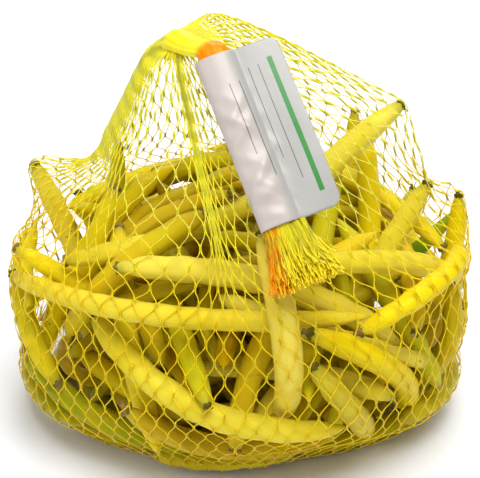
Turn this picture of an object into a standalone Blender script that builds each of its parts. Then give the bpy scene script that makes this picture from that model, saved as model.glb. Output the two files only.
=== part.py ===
# A net bag of yellow string beans, standing on its welded base.
# Metres, +Z up, front towards -Y. The origin is under the middle of the bag.
# Each bean is one solid, laid in the bag by hand where it shows and by a rule elsewhere.
# A net of crossing strands is stretched over all of them and gathered into a neck and tail.
import math
import random

import bmesh
import bpy
import numpy as np

MM = 0.001

# The heap of beans
HEAP_HALF = np.array([96.0, 85.0, 54.0]) * MM   # half width, half depth, half height
HEAP_MIDDLE = np.array([0.0, 0.0, 55.0]) * MM
SQUATNESS = 1.9                  # above 1 the heap is fuller towards its foot
LOWEST_BEAN = 2.5 * MM           # room below the beans for the net and its base weld
BEAN_GAP = 0.55 * MM             # room between neighbours
SPREAD_ROUNDS = 700              # rounds of drawing and parting, the last quarter only parting
SMALL_AT_FIRST = 0.3             # the beans' share of their thickness in the first round
HAND_WEIGHT = 0.22               # how readily a hand-laid bean gives way
SPRING = 0.05                    # how strongly a bean is drawn back to its place
SINK = 0.15 * MM                 # how far a free bean drops in a round
PUSH = 1.3                       # how briskly touching beans are parted
TURN_MEMORY = 1e-5               # keeps a straight bean from rolling about its own length
SEED = 8

# One bean
BEAN_SIDES = 6
BEAN_STATIONS = (0.0, 0.035, 0.12, 0.32, 0.56, 0.78, 0.92, 1.0)
BEAN_GIRTH = (0.42, 0.66, 0.90, 1.0, 1.0, 0.95, 0.68, 0.14)
STEM_CAP = 1.6 * MM
TIP_CAP = 1.2 * MM

# Beans laid by hand: stem end, tip end, thickness, bow away from the heap, bow sideways (mm)
HAND_LAID = (
    ((-92, -6, 60), (49, -51, 79), 9.5, 27, 18),
    ((4, -41, 101), (19, -57, 23), 11.0, 22, 1),
    ((-66, -31, 80), (27, 14, 97), 10.0, 7, 15),
    ((-44, -34, 87), (75, -32, 58), 11.0, 20, 6),
    ((-14, -23, 101), (-72, -38, 52), 10.5, 12, 2),
    ((-4, -10, 102), (-78, -17, 40), 8.5, 13, 6),
    ((-86, 10, 107), (-33, -30, 16), 10.0, 6, 3),
    ((-87, -20, 91), (-2, -37, 33), 9.0, 0, 1),
    ((-53, -15, 107), (-58, -12, 18), 9.5, 12, -4),
    ((-43, 15, 111), (-56, -16, 21), 8.5, 7, 1),
    ((-69, 40, 80), (-42, -24, 17), 8.0, 6, 6),
    ((-74, -43, 34), (-88, 20, 75), 9.0, 10, 0),
    ((-85, -32, 41), (-34, 38, 89), 9.5, 1, 12),
    ((-59, -39, 69), (40, -61, 40), 10.5, 20, 9),
    ((-50, -12, 86), (-40, -72, 17), 9.5, 14, 0),
    ((-90, -32, 42), (-8, -60, 15), 9.5, 13, 0),
    ((-42, -62, 39), (45, -55, 14), 10.5, 10, 8),
    ((-14, -84, 54), (-40, 0, 84), 8.5, 4, 3),
    ((-62, -24, 44), (48, -53, 35), 10.0, 22, 6),
    ((-1, -68, 23), (55, -13, 88), 10.0, 13, -8),
    ((-5, -61, 81), (72, -35, 47), 9.0, 7, 0),
    ((31, -72, 75), (88, -25, 22), 10.5, 18, 0),
    ((42, -67, 74), (78, 0, 66), 9.0, 16, 0),
    ((86, -48, 32), (40, -18, 88), 9.5, 10, 0),
    ((90, -20, 73), (55, -25, 12), 9.0, 16, 0),
    ((81, 5, 95), (4, -68, 36), 10.5, 9, -7),
    ((12, -53, 90), (88, 5, 50), 10.0, 20, 0),
    ((39, 5, 110), (21, -69, 41), 9.5, 9, -7),
    ((51, 30, 111), (53, -46, 33), 9.0, 6, -1),
    ((61, 10, 129), (-17, -4, 36), 11.0, 15, 0),
    ((54, 50, 113), (46, 2, 26), 7.5, 0, -2),
    ((76, 30, 87), (19, -26, 36), 8.0, 1, -5),
    ((88, 15, 92), (42, -19, 16), 8.5, 15, -4),
    ((88, 22, 82), (20, 0, 18), 7.5, 0, -1),
    ((41, -61, 26), (92, 5, 45), 9.5, 12, 0),
    ((40, -25, 84), (43, -60, 23), 8.0, 10, 0),
    ((21, -69, 67), (62, -35, 12), 11.0, 18, 0),
    ((66, -38, 22), (-22, -64, 14), 10.0, 12, 0),
    ((61, -60, 44), (-20, -45, 45), 10.0, 6, 0),
    ((90, -9, 57), (9, -68, 36), 9.5, 13, -5),
)

# Beans laid by rule round the back of the heap
BACK_BEANS = 16
BACK_FROM, BACK_TO = math.radians(8), math.radians(172)
BACK_LOW, BACK_HIGH = 13 * MM, 96 * MM
BACK_DEPTH = 0.86                # how far out they lie, as a share of the heap
BACK_FLOOR, BACK_CEILING = 8 * MM, 106 * MM  # no end of theirs starts lower or higher
GOLDEN = 0.618                   # spreads them evenly, however many they are

# The heart of the heap: crossed layers of beans, held together as one solid
HEART_LAYERS = ((19, 25, 3), (27, 112, 3), (35, 28, 4), (43, 118, 3))  # height, heading, beans
HEART_SPACING = 18 * MM
HEART_LENGTH = 92 * MM
HEART_TAPER = 0.13               # how much shorter a layer's beans get per step from its middle
HEART_THICK = 10.2 * MM

# The net's form: it is stretched over the beans, and over them it rises as a tent to the neck
NET_ROOM = 2.0 * MM              # from a bean's skin to the outer face of the net
NET_MIDDLE = np.array([0.0, 2.0, 62.0]) * MM
NECK = np.array([-24.0, -5.0, 167.0]) * MM
PINCH = np.array([-54.0, 12.0, 120.0]) * MM          # where the left rope meets the heap
TENT_EDGE = ((-13, 10, 175), (2, 11, 170), (25, 13, 153), (48, 12, 135))   # the arch (mm)
TENT_SIDES = ((-38, 0, 158), (-34, 20, 150), (0, 32, 150), (30, 30, 134))  # its slopes (mm)
TENT_FLOOR = 92 * MM             # beans above this height hold the tent up
TENT_LEFT = -50 * MM             # and those to the left of this don't
NECK_DIP = math.radians(17)      # how far round the neck the net is drawn down to it
FACINGS = 900                    # directions in which the form is measured
GRAZING = 0.08                   # a plane met at a flatter slope than this doesn't limit the net

# The net's strands
COLUMNS, ROWS = 26, 20
NET_THICK = 1.4 * MM
KNOT_HALF_WIDE, KNOT_HALF_LONG = 0.85 * MM, 1.5 * MM
KNOT_SHARE = 0.34                # a knot's most half width, as a share of the room to the next one
STRAND_GAP = 0.5 * MM            # room between a strand and a bean
LIFT_ROUNDS = 12                 # rounds of lifting strands clear of the beans
SEARCH = 30 * MM                 # beans further from a strand than this can't touch it
ROPE = (math.radians(176), math.radians(80), 0.62)   # facing, reach and draw of the left rope
PLEAT = (math.radians(-62), math.radians(50), 0.55)  # and of the pleat behind the label
PULL_FROM, PULL_TO = 0.52, 0.74  # where up the net they draw together
LEAN_FROM = math.radians(70)     # from here up its rows lean towards the neck
GATHER_RADIUS = 6.5 * MM
BASE_RADIUS, BASE_THICK, BASE_SIDES = 10 * MM, 2.0 * MM, 16
FIRST_ROW_RADIUS, FIRST_ROW_HEIGHT = 7.2 * MM, 0.6 * MM     # the strands' ends, sunk in the base weld
LINE_STEPS = 140                 # points along a line before the knots are spaced on it

# Neck, tail and its cut end
LABEL_TOP = np.array([-20.0, -12.0, 163.5]) * MM     # upper left corner of the label
LABEL_ALONG = np.array([0.358, -0.600, -0.715])
LABEL_ACROSS = np.array([0.933, 0.231, 0.274])
LABEL_LENGTH, LABEL_WIDTH = 73 * MM, 37 * MM
LABEL_WALL = 0.8 * MM
LIFT_MARGIN, LIFT_ROOM = 6 * MM, 1 * MM      # the net under the label, and the room left over it
TAIL_HALF_WIDE, TAIL_HALF_THICK = 6.6 * MM, 3.0 * MM
TAIL_WIDTHS = np.array([8.2, 7.0, 5.2, 5.6, 6.6, 6.6, 6.6, 6.6, 6.6]) * MM   # half widths down its line
TAIL_HEIGHTS = np.array([8.2, 6.6, 4.2, 3.4, 3.0, 3.0, 3.0, 3.0, 2.7]) * MM  # half heights
TAIL_SIDES = 12
TAIL_INSET = 8.5 * MM            # from the label's left edge to the middle of the tail
SLEEVE_ROOM, SLEEVE_SIDES = 0.6 * MM, 12
LABEL_STATIONS = ((0.0, 3.0), (0.01, 1.2), (0.04, 0.0), (0.35, 0.0), (0.68, 0.0), (0.96, 0.0), (0.99, 1.2),
                  (1.0, 3.0))     # share of the length, and how far the flag's edge is rounded in (mm)
BRUSH_BLADES = 13
BRUSH_LENGTH, BRUSH_ROOT = 25 * MM, 4 * MM   # what shows of a blade, and what is sunk in the tail
BRUSH_LEAN, BRUSH_FAN = 0.10, 0.42           # how the blades lean across, and how far they fan out
BRUSH_STEP = 1.5 * MM            # between the three layers of blades
BLADE_HALF_WIDTHS = np.array([0.9, 0.75, 0.55]) * MM
BLADE_HALF_HEIGHTS = np.array([0.6, 0.5, 0.4]) * MM

YELLOW = (0.80, 0.66, 0.06, 1.0)
NET_YELLOW = (0.95, 0.72, 0.03, 1.0)
LABEL_WHITE = (0.80, 0.78, 0.72, 1.0)


def unit(vector):
    return vector / np.linalg.norm(vector)


def bean_line(stem, tip, bow, swing, outward_from=(0.0, 0.0, 0.04)):
    """Centre points of a bean: an arc that bows outwards and sideways."""
    stem, tip = np.array(stem, float), np.array(tip, float)
    chord = unit(tip - stem)
    outward = (stem + tip) / 2 - np.array(outward_from)
    outward = unit(outward - chord * (outward @ chord))
    sideways = np.cross(chord, outward)
    t = np.array(BEAN_STATIONS)[:, None]
    arch = 4 * t * (1 - t)
    return stem + (tip - stem) * t + arch * (outward * bow + sideways * swing)


def bean_radii(thickness):
    return np.array(BEAN_GIRTH) * thickness / 2


def hand_laid_beans():
    beans = []
    for stem, tip, thickness, bow, swing in HAND_LAID:
        stem, tip = np.array(stem) * MM, np.array(tip) * MM
        beans.append((bean_line(stem, tip, bow * MM, swing * MM), bean_radii(thickness * MM)))
    return beans


def back_beans():
    """Beans round the back, evenly spread by the golden ratio, each with its own slant."""
    rng = random.Random(SEED)
    beans = []
    for number in range(BACK_BEANS):
        share = (number * GOLDEN) % 1.0
        angle = BACK_FROM + (BACK_TO - BACK_FROM) * share
        height = BACK_LOW + (BACK_HIGH - BACK_LOW) * (number + 0.5) / BACK_BEANS
        level = (height - HEAP_MIDDLE[2]) / HEAP_HALF[2]
        reach = BACK_DEPTH * math.sqrt(max(0.1, 1 - level * level))
        middle = np.array([HEAP_HALF[0] * math.cos(angle) * reach,
                           HEAP_HALF[1] * math.sin(angle) * reach, height])
        along = np.array([-math.sin(angle), math.cos(angle), 0.0])
        half = rng.uniform(50, 66) * MM
        room = min(height - BACK_FLOOR, BACK_CEILING - height) / half
        steepest = math.asin(min(0.85, room))
        slant = steepest * rng.uniform(-1, 1)
        heading = along * math.cos(slant) + np.array([0, 0, 1]) * math.sin(slant)
        bow = rng.uniform(10, 20) * MM
        line = bean_line(middle - heading * half, middle + heading * half, bow, 0.0)
        beans.append((line - (line[len(line) // 2] - middle), bean_radii(rng.uniform(8.5, 10.5) * MM)))
    return beans


def heart_beans():
    """Layers of side-by-side beans, each layer laid across the one below and sunk into it."""
    rng = random.Random(SEED + 1)
    beans = []
    for height, heading, count in HEART_LAYERS:
        angle = math.radians(heading)
        along = np.array([math.cos(angle), math.sin(angle), 0.0])
        across = np.array([-along[1], along[0], 0.0])
        for place in range(count):
            offset = (place - (count - 1) / 2) * HEART_SPACING
            middle = across * offset + np.array([0, 0, height * MM])
            half = HEART_LENGTH / 2 * (1 - HEART_TAPER * abs(offset) / HEART_SPACING)
            slip = along * rng.uniform(-5, 5) * MM
            stem, tip = middle + slip - along * half, middle + slip + along * half
            if rng.random() < 0.5:
                stem, tip = tip, stem
            line = bean_line(stem, tip, 0.0, rng.uniform(-4, 4) * MM, (0, 0, 0))
            beans.append((line, bean_radii(HEART_THICK)))
    return beans


def closest_on_segments(a0, a1, b0, b1):
    """Shares along two sets of segments where each pair comes closest."""
    da, db, gap = a1 - a0, b1 - b0, a0 - b0
    aa = np.maximum((da * da).sum(1), 1e-12)
    bb = np.maximum((db * db).sum(1), 1e-12)
    ab = (da * db).sum(1)
    ag, bg = (da * gap).sum(1), (db * gap).sum(1)
    denom = aa * bb - ab * ab
    s = np.where(denom > 1e-14, (ab * bg - ag * bb) / np.maximum(denom, 1e-14), 0.5)
    s = np.clip(s, 0, 1)
    t = (ab * s + bg) / bb
    t_in = np.clip(t, 0, 1)
    s = np.where(t == t_in, s, np.clip((ab * t_in - ag) / aa, 0, 1))
    return s, t_in


class Heap:
    """Beans as stiff chains of points, moved apart until none touches another."""

    def __init__(self, beans, give):
        self.home = np.array([line for line, radii in beans])
        self.points = self.home.copy()
        self.radii = np.array([radii for line, radii in beans])
        self.grown = 1.0
        self.loose = np.array(give) > 0
        self.give = np.array(give)[:, None].repeat(self.home.shape[1], 1)
        self.middle = self.home.mean(1, keepdims=True)
        self.shape = self.home - self.middle
        self.turn = np.tile(np.eye(3), (len(beans), 1, 1))
        count, stations = self.radii.shape
        chain = np.arange(count * stations).reshape(count, stations)
        self.start, self.end = chain[:, :-1].ravel(), chain[:, 1:].ravel()
        self.owner = np.repeat(np.arange(count), stations - 1)

    def contacts(self):
        """Pairs of stretches nearer than the gap, with how far they must part."""
        points, radii = self.points.reshape(-1, 3), self.radii.ravel() * self.grown
        a, b = points[self.start], points[self.end]
        middle = (a + b) / 2
        reach = np.linalg.norm(b - a, axis=1) / 2 + np.maximum(radii[self.start], radii[self.end])
        square = (middle * middle).sum(1)
        apart = square[:, None] + square[None, :] - 2 * middle @ middle.T
        near = apart < (reach[:, None] + reach[None, :] + BEAN_GAP) ** 2
        near &= self.owner[:, None] < self.owner[None, :]
        near &= self.loose[self.owner][:, None] | self.loose[self.owner][None, :]
        one, two = np.nonzero(near)
        s, t = closest_on_segments(a[one], b[one], a[two], b[two])
        p = a[one] + (b[one] - a[one]) * s[:, None]
        q = a[two] + (b[two] - a[two]) * t[:, None]
        room = (radii[self.start[one]] * (1 - s) + radii[self.end[one]] * s
                + radii[self.start[two]] * (1 - t) + radii[self.end[two]] * t)
        offset = p - q
        distance = np.linalg.norm(offset, axis=1)
        push = room + BEAN_GAP - distance
        hit = push > 0
        normal = offset[hit] / np.maximum(distance[hit], 1e-9)[:, None]
        return one[hit], two[hit], s[hit], t[hit], normal, push[hit]

    def part(self):
        """Move the points of touching stretches away from each other."""
        one, two, s, t, normal, push = self.contacts()
        give = self.give.ravel()
        move = np.zeros((give.size, 3))
        share = np.zeros(give.size)
        ends = ((self.start[one], 1 - s, 1), (self.end[one], s, 1),
                (self.start[two], 1 - t, -1), (self.end[two], t, -1))
        total = sum(give[index] * weight * weight for index, weight, sign in ends)
        step = push / np.maximum(total, 1e-9) * PUSH
        for index, weight, sign in ends:
            amount = (give[index] * weight * step)[:, None] * normal * sign
            np.add.at(move, index, amount)
            np.add.at(share, index, weight)
        move /= np.maximum(share, 1)[:, None]
        self.points += move.reshape(self.points.shape)

    def keep_inside(self, by_hand):
        """Keep beans off the ground and in the heap's outline, which only caps the rule-laid ones."""
        half = HEAP_HALF - self.radii[..., None]
        level = self.points[..., 2] - HEAP_MIDDLE[2]
        squat = -half[..., 2] * np.clip(-level / half[..., 2], 0, 1) ** SQUATNESS
        level = np.where(by_hand[:, None], squat, np.where(level < 0, squat, level))
        away = np.stack([self.points[..., 0], self.points[..., 1], level], 2) / half
        size = np.maximum(np.linalg.norm(away, axis=2, keepdims=True), 1.0)
        inward = away * half * (1 / size - 1)
        inward += np.where(self.loose[:, None], np.maximum(LOWEST_BEAN + self.radii - self.points[..., 2], 0),
                           0)[..., None] * np.array([0, 0, 1])
        self.points += np.where(self.loose[:, None, None], inward, 0)

    def stiffen(self):
        """Give every bean its own shape back, where its points have been moved to."""
        middle = self.points.mean(1, keepdims=True)
        spread = np.einsum("nki,nkj->nij", self.points - middle, self.shape)
        spread += self.turn * TURN_MEMORY
        u, _, vt = np.linalg.svd(spread)
        flip = np.sign(np.linalg.det(u @ vt))
        u[:, :, 2] *= flip[:, None]
        self.turn = u @ vt
        self.points = np.round(np.einsum("nij,nkj->nki", self.turn, self.shape) + middle, 7)

    def settle(self, by_hand, rounds):
        """Draw the beans to their places and downwards, parting them, then only part them."""
        for number in range(rounds):
            ease = max(0.0, 1 - number / (rounds * 0.75))
            self.grown = min(1.0, SMALL_AT_FIRST + 2 * (1 - SMALL_AT_FIRST) * number / rounds)
            draw = (self.home - self.points) * SPRING * ease
            draw[..., 2] -= SINK * ease * self.give
            self.points += np.where(self.loose[:, None, None], draw, 0)
            self.part()
            self.keep_inside(by_hand)
            self.stiffen()


def lay_beans():
    """All the beans in their places, the heart's beans last."""
    laid, back, heart = hand_laid_beans(), back_beans(), heart_beans()
    beans = laid + back + heart
    give = [HAND_WEIGHT] * len(laid) + [1.0] * len(back) + [0.0] * len(heart)
    heap = Heap(beans, give)
    heap.settle(np.arange(len(beans)) < len(laid), SPREAD_ROUNDS)
    return np.round(heap.points, 6), heap.radii, len(heart)


def facings(count):
    """Directions spread evenly over the sphere."""
    number = np.arange(count) + 0.5
    height = 1 - 2 * number / count
    angle = number * math.pi * (3 - math.sqrt(5))
    flat = np.sqrt(1 - height * height)
    return np.stack([flat * np.cos(angle), flat * np.sin(angle), height], 1)


class NetForm:
    """The taut skin over the beans and up to the neck, as a distance in every direction."""

    def __init__(self, points, radii):
        self.planes = facings(FACINGS)
        points, radii = points.reshape(-1, 3), radii.ravel()
        pinch = (PINCH[None], np.array([2 * MM]))
        body = self.extent(np.concatenate([points, pinch[0]]), np.concatenate([radii, pinch[1]]))
        high = (points[:, 2] > TENT_FLOOR) & (points[:, 0] > TENT_LEFT)
        edge = np.array(TENT_EDGE + TENT_SIDES) * MM
        held = np.concatenate([points[high], pinch[0], edge, NECK[None], NET_MIDDLE[None]])
        held_radii = np.concatenate([radii[high], pinch[1], np.zeros(len(edge) + 2)])
        self.extents = (body, self.extent(held, held_radii))
        self.neck_facing = unit(NECK - NET_MIDDLE)
        self.neck_reach = np.linalg.norm(NECK - NET_MIDDLE)

    def extent(self, points, radii):
        return (points @ self.planes.T + radii[:, None]).max(0) + NET_ROOM - self.planes @ NET_MIDDLE

    def reach(self, facing):
        """Distance from the middle of the bag to the net, for each facing."""
        along = facing @ self.planes.T
        far = np.where(along > GRAZING, 1 / np.maximum(along, GRAZING), np.inf)
        reach = np.maximum(*[np.min(far * extent, axis=-1) for extent in self.extents])
        down = -facing[..., 2]
        to_ground = NET_MIDDLE[2] / np.maximum(down, GRAZING)
        reach = np.where(down > GRAZING, np.minimum(reach, to_ground), reach)
        near_neck = np.arccos(np.clip(facing @ self.neck_facing, -1, 1)) / NECK_DIP
        dip = np.clip(1 - near_neck, 0, 1)
        dip = dip * dip * (3 - 2 * dip)
        return reach + (self.neck_reach - reach) * dip


def draw_together(angle, height):
    """Turn evenly spread strands towards the rope and the pleat, more so near the neck."""
    pull = np.clip((height - PULL_FROM) / (PULL_TO - PULL_FROM), 0, 1)
    pull = pull * pull * (3 - 2 * pull)
    for facing, span, draw in (ROPE, PLEAT):
        away = (angle - facing + math.pi) % (2 * math.pi) - math.pi
        share = np.clip(np.abs(away) / span, 1e-6, 1)
        drawn = span * share * (1 - draw * pull * (1 - share ** 1.5))
        angle = angle + np.where(share < 1, np.sign(away) * (drawn - np.abs(away)), 0)
    return angle


def strand_grid(form):
    """Knot places: rows of them at equal steps along lines from the base to the neck."""
    tilt_axis = unit(np.cross([0, 0, 1], form.neck_facing))
    tilt_angle = math.acos(form.neck_facing[2])
    lowest = math.atan2(FIRST_ROW_RADIUS, NET_MIDDLE[2])
    highest = math.pi - math.asin(GATHER_RADIUS / form.neck_reach)
    steps = np.linspace(0, 1, LINE_STEPS)
    polar = lowest + (highest - lowest) * steps
    lean = np.clip((polar - LEAN_FROM) / (math.pi - LEAN_FROM), 0, 1)
    lean = tilt_angle * lean * lean * (3 - 2 * lean)
    grid = np.zeros((ROWS, COLUMNS, 3))
    for half in range(2):
        for column in range(COLUMNS):
            turn = draw_together(2 * math.pi * (column + half / 2) / COLUMNS, steps)
            facing = np.stack([np.sin(polar) * np.cos(turn), np.sin(polar) * np.sin(turn),
                               -np.cos(polar)], 1)
            facing = (facing * np.cos(lean)[:, None] + np.cross(tilt_axis, facing) * np.sin(lean)[:, None]
                      + tilt_axis * (facing @ tilt_axis)[:, None] * (1 - np.cos(lean))[:, None])
            line = NET_MIDDLE + facing * form.reach(facing)[:, None]
            run = np.concatenate([[0], np.cumsum(np.linalg.norm(np.diff(line, axis=0), axis=1))])
            for row in range(half, ROWS, 2):
                at = run[-1] * row / (ROWS - 1)
                grid[row, column] = [np.interp(at, run, line[:, axis]) for axis in range(3)]
    return grid


def side_columns(row, column):
    """Columns of the two neighbours in the next row, left one first."""
    if row % 2 == 0:
        return (column - 1) % COLUMNS, column
    return column, (column + 1) % COLUMNS


def net_normals(grid):
    right, left = np.roll(grid, -1, 1), np.roll(grid, 1, 1)
    across = right - left
    up = np.zeros_like(grid)
    for row in range(ROWS):
        above, below = min(row + 1, ROWS - 1), max(row - 1, 0)
        for column in range(COLUMNS):
            upper = grid[above, list(side_columns(row, column))].mean(0) if above > row else grid[row, column]
            lower = grid[below, list(side_columns(row, column))].mean(0) if below < row else grid[row, column]
            up[row, column] = upper - lower
    across /= np.linalg.norm(across, axis=2, keepdims=True)
    normals = np.cross(across, up)
    normals /= np.linalg.norm(normals, axis=2, keepdims=True)
    return across, np.cross(normals, across), normals


def clear_of_beans(grid, points, radii):
    """Lift knots outwards until no strand between them comes near a bean."""
    count, stations = radii.shape
    chain = np.arange(count * stations).reshape(count, stations)
    start, end = chain[:, :-1].ravel(), chain[:, 1:].ravel()
    flat, girth = points.reshape(-1, 3), radii.ravel()
    thickest = np.maximum(girth[start], girth[end])
    pairs = [((row, column), (row + 1, side)) for row in range(ROWS - 1)
             for column in range(COLUMNS) for side in side_columns(row, column)]
    lower = np.array([low for low, high in pairs])
    upper = np.array([high for low, high in pairs])
    for number in range(LIFT_ROUNDS):
        normals = net_normals(grid)[2]
        core = grid - normals * NET_THICK / 2
        a, b = core[lower[:, 0], lower[:, 1]], core[upper[:, 0], upper[:, 1]]
        one = np.repeat(np.arange(len(a)), len(start))
        two = np.tile(np.arange(len(start)), len(a))
        middle = (flat[start] + flat[end]) / 2
        near = np.linalg.norm(((a + b) / 2)[:, None] - middle[None], axis=2).ravel() < SEARCH
        one, two = one[near], two[near]
        s, t = closest_on_segments(a[one], b[one], flat[start[two]], flat[end[two]])
        on_strand = a[one] + (b[one] - a[one]) * s[:, None]
        on_bean = flat[start[two]] + (flat[end[two]] - flat[start[two]]) * t[:, None]
        gap = np.linalg.norm(on_strand - on_bean, axis=1)
        short = thickest[two] + NET_THICK / 2 + STRAND_GAP - gap
        lift = np.zeros((ROWS, COLUMNS))
        hit = short > 0
        if not hit.any():
            break
        for ends in (lower, upper):
            np.maximum.at(lift, (ends[one[hit], 0], ends[one[hit], 1]), short[hit])
        grid = grid + normals * lift[..., None]
        grid[..., 2] = np.maximum(grid[..., 2], 0.0)
    return grid


def net_tube(grid):
    """Strands as slim four-faced bars that meet at the knots, as one open-ended tube."""
    across, up, normals = net_normals(grid)
    gap = np.linalg.norm(grid - np.roll(grid, 1, 1), axis=2)
    gap = np.minimum(gap, np.roll(gap, -1, 1))
    half_wide = np.minimum(KNOT_HALF_WIDE, KNOT_SHARE * gap)[..., None]
    core = grid - normals * NET_THICK / 2
    mesh = bmesh.new()
    places = (grid, grid - normals * NET_THICK, core - across * half_wide, core + across * half_wide,
              core + up * KNOT_HALF_LONG, core - up * KNOT_HALF_LONG)
    outer, inner, left, right, above, below = [
        [[mesh.verts.new(point) for point in line] for line in points] for points in places]
    for row in range(ROWS - 1):
        for column in range(COLUMNS):
            here = row, column
            left_side, right_side = side_columns(row, column)
            there = row + 1, left_side
            strand_faces(mesh, outer, inner, here, there, left, below, above, right)
            there = row + 1, right_side
            strand_faces(mesh, outer, inner, here, there, above, left, right, below)
    for column in range(COLUMNS):
        for row in (0, ROWS - 1):
            ring = (left, outer, right, inner) if row else (left, inner, right, outer)
            mesh.faces.new([part[row][column] for part in ring])
    for part, row in ((above, ROWS - 1), (below, 0)):
        for vert in part[row]:
            mesh.verts.remove(vert)
    return mesh


def strand_faces(mesh, outer, inner, here, there, left_here, left_there, right_here, right_there):
    """The four long faces of one strand between two knots."""
    o1, i1, l1, r1 = [part[here[0]][here[1]] for part in (outer, inner, left_here, right_here)]
    o2, i2, l2, r2 = [part[there[0]][there[1]] for part in (outer, inner, left_there, right_there)]
    for corners in ((o1, o2, l2, l1), (r1, r2, o2, o1), (l1, l2, i2, i1), (i1, i2, r2, r1)):
        mesh.faces.new(corners)


def loft(mesh, rings):
    """A closed tube through rings of points, with flat ends."""
    loops = [[mesh.verts.new(point) for point in ring] for ring in rings]
    count = len(loops[0])
    for low, high in zip(loops, loops[1:]):
        for place in range(count):
            after = (place + 1) % count
            mesh.faces.new((low[place], low[after], high[after], high[place]))
    mesh.faces.new(loops[0][::-1])
    mesh.faces.new(loops[-1])


def frames_along(line):
    """A turning frame carried along a line without twist."""
    tangents = np.gradient(line, axis=0)
    tangents /= np.linalg.norm(tangents, axis=1, keepdims=True)
    side = unit(np.cross(tangents[0], [0.3, 0.2, 0.93]))
    sides = []
    for tangent in tangents:
        side = unit(side - tangent * (side @ tangent))
        sides.append(side)
    sides = np.array(sides)
    return tangents, sides, np.cross(tangents, sides)


def bean_body(mesh, line, radii):
    """A six-sided pod: a blunt stem end, a full middle and a drawn-out tip."""
    tangents, sides, rises = frames_along(line)
    loops = [[mesh.verts.new(point + (side * math.cos(turn) + rise * math.sin(turn)) * radius)
              for turn in turns(BEAN_SIDES)] for point, radius, side, rise in zip(line, radii, sides, rises)]
    for low, high in zip(loops, loops[1:]):
        for place in range(BEAN_SIDES):
            after = (place + 1) % BEAN_SIDES
            mesh.faces.new((low[place], low[after], high[after], high[place]))
    stem = mesh.verts.new(line[0] - tangents[0] * STEM_CAP)
    tip = mesh.verts.new(line[-1] + tangents[-1] * TIP_CAP)
    for place in range(BEAN_SIDES):
        after = (place + 1) % BEAN_SIDES
        mesh.faces.new((stem, loops[0][after], loops[0][place]))
        mesh.faces.new((tip, loops[-1][place], loops[-1][after]))


def add_object(name, mesh, material):
    bmesh.ops.recalc_face_normals(mesh, faces=mesh.faces)
    data = bpy.data.meshes.new(name)
    mesh.to_mesh(data)
    mesh.free()
    data.materials.append(material)
    data.shade_smooth()
    item = bpy.data.objects.new(name, data)
    bpy.context.scene.collection.objects.link(item)
    return item


def make_material(name, colour, roughness):
    material = bpy.data.materials.new(name)
    material.use_nodes = True
    shader = material.node_tree.nodes["Principled BSDF"]
    shader.inputs["Base Color"].default_value = colour
    shader.inputs["Roughness"].default_value = roughness
    return material


def join_all(target, extras, solver):
    """Fuse a set of closed shapes into the target as one solid."""
    group = bpy.data.collections.new(target.name + "_extras")
    bpy.context.scene.collection.children.link(group)
    for item in extras:
        bpy.context.scene.collection.objects.unlink(item)
        group.objects.link(item)
    union = target.modifiers.new("Union", "BOOLEAN")
    union.operation = "UNION"
    union.operand_type = "COLLECTION"
    union.collection = group
    union.solver = solver
    depsgraph = bpy.context.evaluated_depsgraph_get()
    joined = bpy.data.meshes.new_from_object(target.evaluated_get(depsgraph))
    target.modifiers.clear()
    target.data = joined
    for item in extras:
        bpy.data.objects.remove(item)
    bpy.data.collections.remove(group)


def make_beans(points, radii, heart_count):
    rng = random.Random(SEED + 2)
    loose = len(points) - heart_count
    for number in range(loose):
        shade = rng.uniform(-0.10, 0.06)
        colour = (YELLOW[0] + shade, YELLOW[1] + shade * 0.6, YELLOW[2], 1.0)
        mesh = bmesh.new()
        bean_body(mesh, points[number], radii[number])
        name = f"bean_{number + 1:02d}"
        add_object(name, mesh, make_material(name, colour, 0.45))
    material = make_material("heart", YELLOW, 0.5)
    pods = []
    for number in range(loose, len(points)):
        mesh = bmesh.new()
        bean_body(mesh, points[number], radii[number])
        pods.append(add_object(f"heart_pod_{number}", mesh, material))
    heart = pods[0]
    heart.name = "heart"
    join_all(heart, pods[1:], "EXACT")


def label_lift(grid):
    """How far the label must come forward to lie on the net and not in it."""
    facing = unit(np.cross(LABEL_ALONG, LABEL_ACROSS))
    from_corner = grid.reshape(-1, 3) - LABEL_TOP
    along, across, level = from_corner @ LABEL_ALONG, from_corner @ LABEL_ACROSS, from_corner @ facing
    margin = LIFT_MARGIN
    over = (along > margin) & (along < LABEL_LENGTH + margin)
    sleeve = over & (np.abs(across - TAIL_INSET) < TAIL_HALF_WIDE + margin)
    flag = over & (across > TAIL_INSET) & (across < LABEL_WIDTH + margin)
    needed = np.concatenate([level[sleeve] + TAIL_HALF_THICK + SLEEVE_ROOM + LABEL_WALL, level[flag]])
    return facing * (needed.max() + LABEL_WALL + LIFT_ROOM)


def tail_line(label_top):
    """The middle of the tail, from inside the gather to its cut end, with the label's stretch."""
    top = label_top + LABEL_ACROSS * TAIL_INSET
    inward = unit(NECK - NET_MIDDLE)
    start = [NECK - inward * 4 * MM, NECK + inward * 2 * MM]
    bend = [NECK + inward * 4.5 * MM + np.array([3.0, -4.0, 0.0]) * MM,
            top - LABEL_ALONG * 3 * MM + np.array([-1.0, 2.0, 0.5]) * MM]
    under = [top + LABEL_ALONG * LABEL_LENGTH * share for share in (0.03, 0.35, 0.68, 1.0)]
    end = [under[-1] + LABEL_ALONG * 5 * MM]
    return np.array(start + bend + under + end)


def turns(count):
    return [2 * math.pi * number / count for number in range(count)]


def flat_rings(line, widths, heights, sides, lean):
    """Oval rings across a line, their long way along lean."""
    tangents = np.gradient(line, axis=0)
    tangents /= np.linalg.norm(tangents, axis=1, keepdims=True)
    rings = []
    for point, tangent, wide, high in zip(line, tangents, widths, heights):
        across = unit(lean - tangent * (lean @ tangent))
        rise = np.cross(across, tangent)
        rings.append([point + across * wide * math.cos(turn) + rise * high * math.sin(turn)
                      for turn in turns(sides)])
    return rings


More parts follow.
